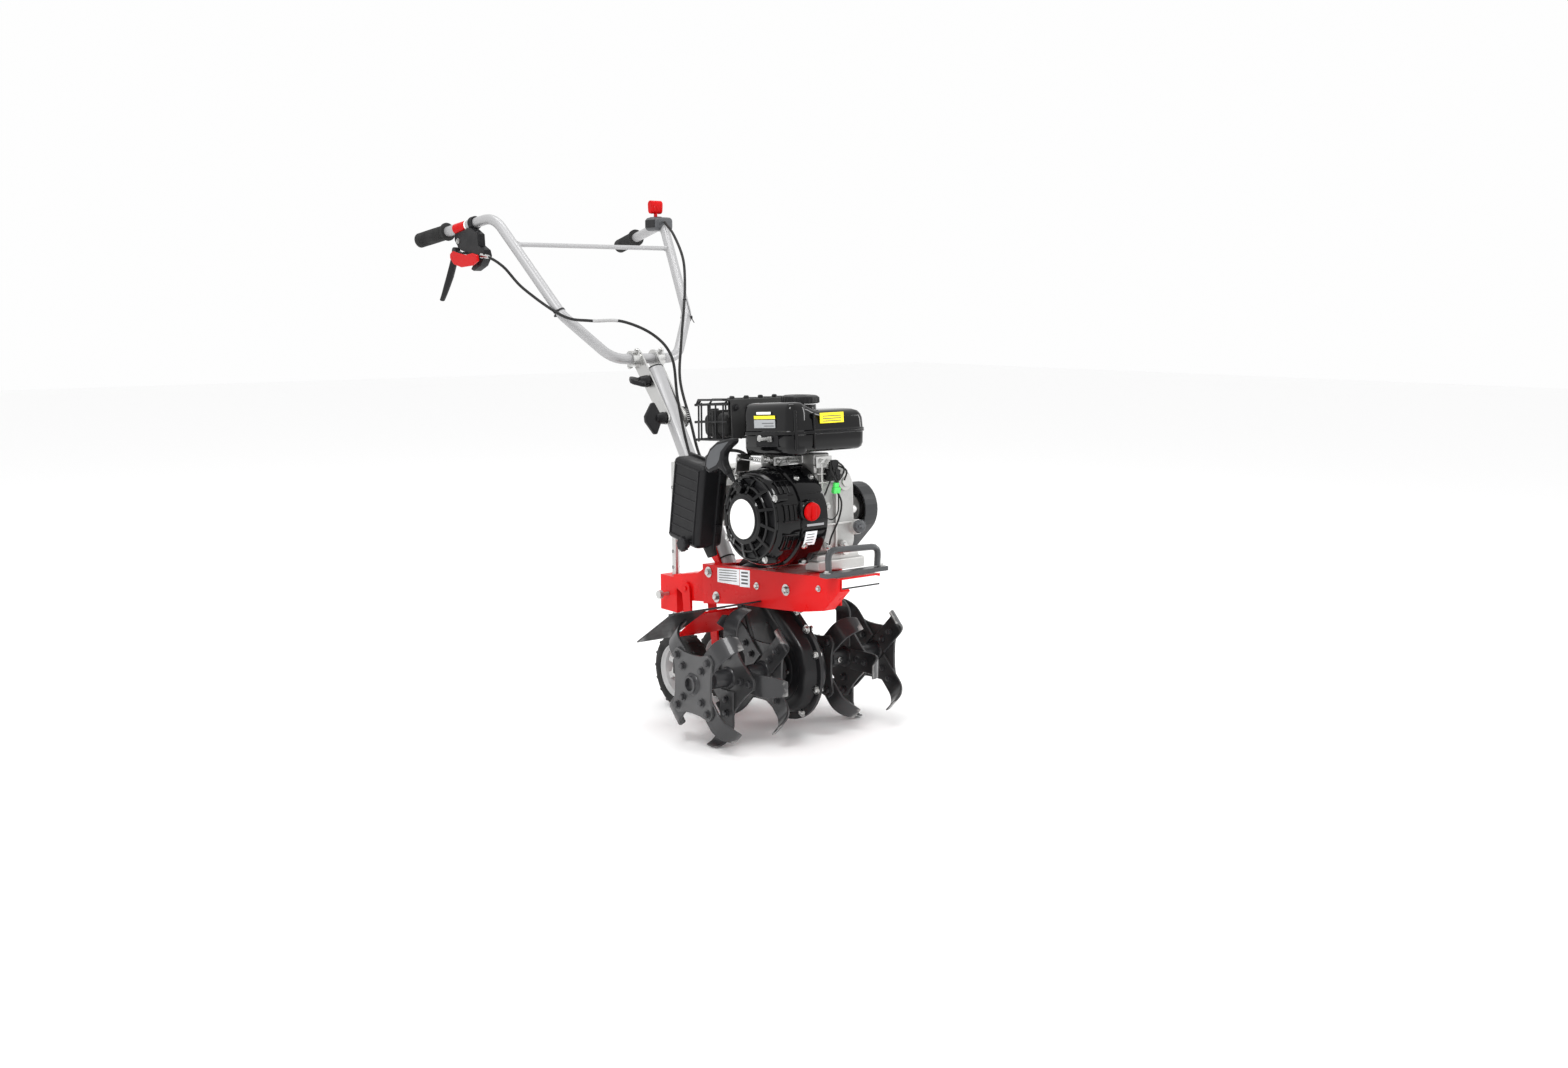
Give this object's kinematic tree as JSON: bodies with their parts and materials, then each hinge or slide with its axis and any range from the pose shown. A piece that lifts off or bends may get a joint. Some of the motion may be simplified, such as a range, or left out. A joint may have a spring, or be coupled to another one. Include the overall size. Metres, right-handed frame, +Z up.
{
  "type": "walk-behind tiller",
  "caption": "Petrol walk-behind tiller with belt and chain drive, rotating tines, folding transport wheels, depth stake and a height-adjusted handlebar.",
  "frame": {"origin": "on the ground under the middle of the bounding box", "axes": "+Z up, +Y from the engine towards the operator, +X to the operator's left"},
  "size_m": [0.5666, 1.206, 1.066],
  "materials": {
    "red_paint": "gloss red powder coat",
    "black_paint": "satin black",
    "charcoal_paint": "satin charcoal",
    "zinc": "bright zinc plate",
    "black_rubber": "matt rubber",
    "dark_plastic": "moulded dark grey",
    "cast_aluminium": "as cast",
    "gloss_black": "gloss black moulding",
    "black_plastic": "moulded black",
    "red_plastic": "moulded red",
    "grey_paint": "satin light grey",
    "cable_black": "black cable jacket"
  },
  "bodies": {
    "frame": {"frame_channel": "red_paint", "rear_hitch": "red_paint", "rear_guard": "red_paint", "fender_near": "black_paint", "fender_far": "black_paint", "bumper_bar": "charcoal_paint", "carry_loop": "charcoal_paint", "chain_case_near": "black_paint", "chain_case_far": "black_paint", "drive_chain": "zinc", "drive_belt": "black_rubber", "belt_cover": "dark_plastic", "crankcase": "cast_aluminium", "cylinder": "cast_aluminium", "blower_housing": "gloss_black", "recoil_cover": "gloss_black", "fuel_tank": "gloss_black", "muffler": "black_paint", "muffler_guard": "black_paint", "air_filter_box": "black_plastic", "carburettor": "cast_aluminium", "handle_column": "grey_paint", "clutch_cable": "cable_black", "throttle_cable": "cable_black"},
    "tine_rotor": {"tine_shaft": "zinc", "large_sprocket": "zinc", "tine_inner_near": "charcoal_paint", "tine_inner_far": "charcoal_paint", "tine_middle_near": "charcoal_paint", "tine_middle_far": "charcoal_paint", "tine_outer_near": "charcoal_paint", "tine_outer_far": "charcoal_paint"},
    "input": {"input_shaft": "zinc"},
    "crank": {"crankshaft": "zinc", "flywheel": "cast_aluminium"},
    "idler": {"idler_arm": "zinc"},
    "wheel_carrier": {"wheel_bracket": "red_paint"},
    "near_wheel": {"wheel_near": "black_rubber"},
    "far_wheel": {"wheel_far": "black_rubber"},
    "stake": {"depth_stake": "zinc"},
    "stake_pin": {"stake_plunger": "zinc"},
    "handle": {"handlebar": "grey_paint", "crossbar": "grey_paint", "grip_near": "black_rubber", "grip_far": "black_rubber", "clamp_plate_near": "zinc", "clamp_plate_far": "zinc", "lever_bracket": "black_plastic", "throttle_housing": "grey_paint"},
    "clutch": {"clutch_lever": "black_plastic"},
    "lock": {"lock_button": "red_plastic"},
    "throttle": {"throttle_lever": "red_plastic"},
    "height_knob": {"upper_knob": "black_plastic"},
    "pivot_bolt": {"pivot_knob": "black_plastic"},
    "starter_grip": {"recoil_grip": "black_plastic"},
    "tank_cap": {"fuel_cap": "black_plastic"},
    "tap": {"fuel_tap": "zinc"},
    "oil_filler": {"oil_plug": "dark_plastic"},
    "switch": {"stop_switch": "red_plastic"},
    "filter_nut": {"filter_knob": "black_plastic"}
  },
  "joints": [
    {"name": "tine_spin", "type": "hinge", "parent": "frame", "child": "tine_rotor", "pos_m": [0, -0.396, 0.13], "axis": [1, 0, 0], "continuous": true},
    {"name": "input_spin", "type": "hinge", "parent": "frame", "child": "input", "pos_m": [0, -0.296, 0.29], "axis": [1, 0, 0], "continuous": true},
    {"name": "crank_spin", "type": "hinge", "parent": "frame", "child": "crank", "pos_m": [0, -0.441, 0.437], "axis": [1, 0, 0], "continuous": true},
    {"name": "idler_tension", "type": "hinge", "parent": "frame", "child": "idler", "pos_m": [0.1, -0.351, 0.352], "axis": [-1, 0, 0], "range_deg": [0, 8]},
    {"name": "wheel_fold", "type": "hinge", "parent": "frame", "child": "wheel_carrier", "pos_m": [0, -0.096, 0.245], "axis": [1, 0, 0], "range_deg": [0, 60]},
    {"name": "near_wheel_spin", "type": "hinge", "parent": "wheel_carrier", "child": "near_wheel", "pos_m": [-0.055, -0.118, 0.08], "axis": [1, 0, 0], "continuous": true},
    {"name": "far_wheel_spin", "type": "hinge", "parent": "wheel_carrier", "child": "far_wheel", "pos_m": [0.055, -0.118, 0.08], "axis": [1, 0, 0], "continuous": true},
    {"name": "stake_height", "type": "slide", "parent": "frame", "child": "stake", "axis": [0, 0, 1], "range_m": [-0.14, 0.04]},
    {"name": "stake_pin_pull", "type": "slide", "parent": "frame", "child": "stake_pin", "axis": [-1, 0, 0], "range_m": [0, 0.012], "stiffness_N_per_m": 300},
    {"name": "handle_height", "type": "hinge", "parent": "frame", "child": "handle", "pos_m": [0, -0.011, 0.5937], "axis": [1, 0, 0], "range_deg": [-12, 12], "deforming": ["clutch_cable", "throttle_cable"]},
    {"name": "clutch_pull", "type": "hinge", "parent": "handle", "child": "clutch", "pos_m": [-0.246, 0.466, 0.944], "axis": [1, 0, 0], "range_deg": [0, 24], "stiffness_Nm_per_rad": 1, "deforming": ["clutch_cable"]},
    {"name": "lock_press", "type": "slide", "parent": "handle", "child": "lock", "axis": [1, 0, 0], "range_m": [0, 0.003], "stiffness_N_per_m": 200},
    {"name": "throttle_set", "type": "hinge", "parent": "handle", "child": "throttle", "pos_m": [0.206, 0.351, 1.019], "axis": [1, 0, 0], "range_deg": [-30, 30]},
    {"name": "height_knob_turn", "type": "hinge", "parent": "handle", "child": "height_knob", "pos_m": [-0.03, 0.049, 0.668], "axis": [1, 0, 0], "range_deg": [0, 180]},
    {"name": "pivot_knob_turn", "type": "hinge", "parent": "frame", "child": "pivot_bolt", "pos_m": [-0.03, -0.011, 0.5937], "axis": [1, 0, 0], "range_deg": [-90, 90]},
    {"name": "starter_pull", "type": "slide", "parent": "frame", "child": "starter_grip", "axis": [0, 0.67, 0.7424], "range_m": [0, 0.35], "stiffness_N_per_m": 15},
    {"name": "tank_cap_turn", "type": "hinge", "parent": "frame", "child": "tank_cap", "pos_m": [-0.017, -0.451, 0.6463], "axis": [0, 0, 1], "range_deg": [0, 120]},
    {"name": "tap_turn", "type": "hinge", "parent": "frame", "child": "tap", "pos_m": [-0.102, -0.436, 0.583], "axis": [1, 0, 0], "range_deg": [0, 80]},
    {"name": "oil_filler_turn", "type": "hinge", "parent": "frame", "child": "oil_filler", "pos_m": [0.078, -0.5085, 0.411], "axis": [0, -0.9892, 0.1466], "range_deg": [0, 180]},
    {"name": "switch_press", "type": "slide", "parent": "frame", "child": "switch", "axis": [0, 1, 0], "range_m": [0, 0.002], "stiffness_N_per_m": 400},
    {"name": "filter_nut_turn", "type": "hinge", "parent": "frame", "child": "filter_nut", "pos_m": [-0.1506, -0.272, 0.372], "axis": [1, 0, 0], "range_deg": [0, 180]}
  ],
  "couplings": [
    {"joint": "crank_spin", "follows": "tine_spin", "ratio": 6},
    {"joint": "input_spin", "follows": "tine_spin", "ratio": 4},
    {"joint": "idler_tension", "follows": "clutch_pull", "ratio": 0.33333}
  ]
}
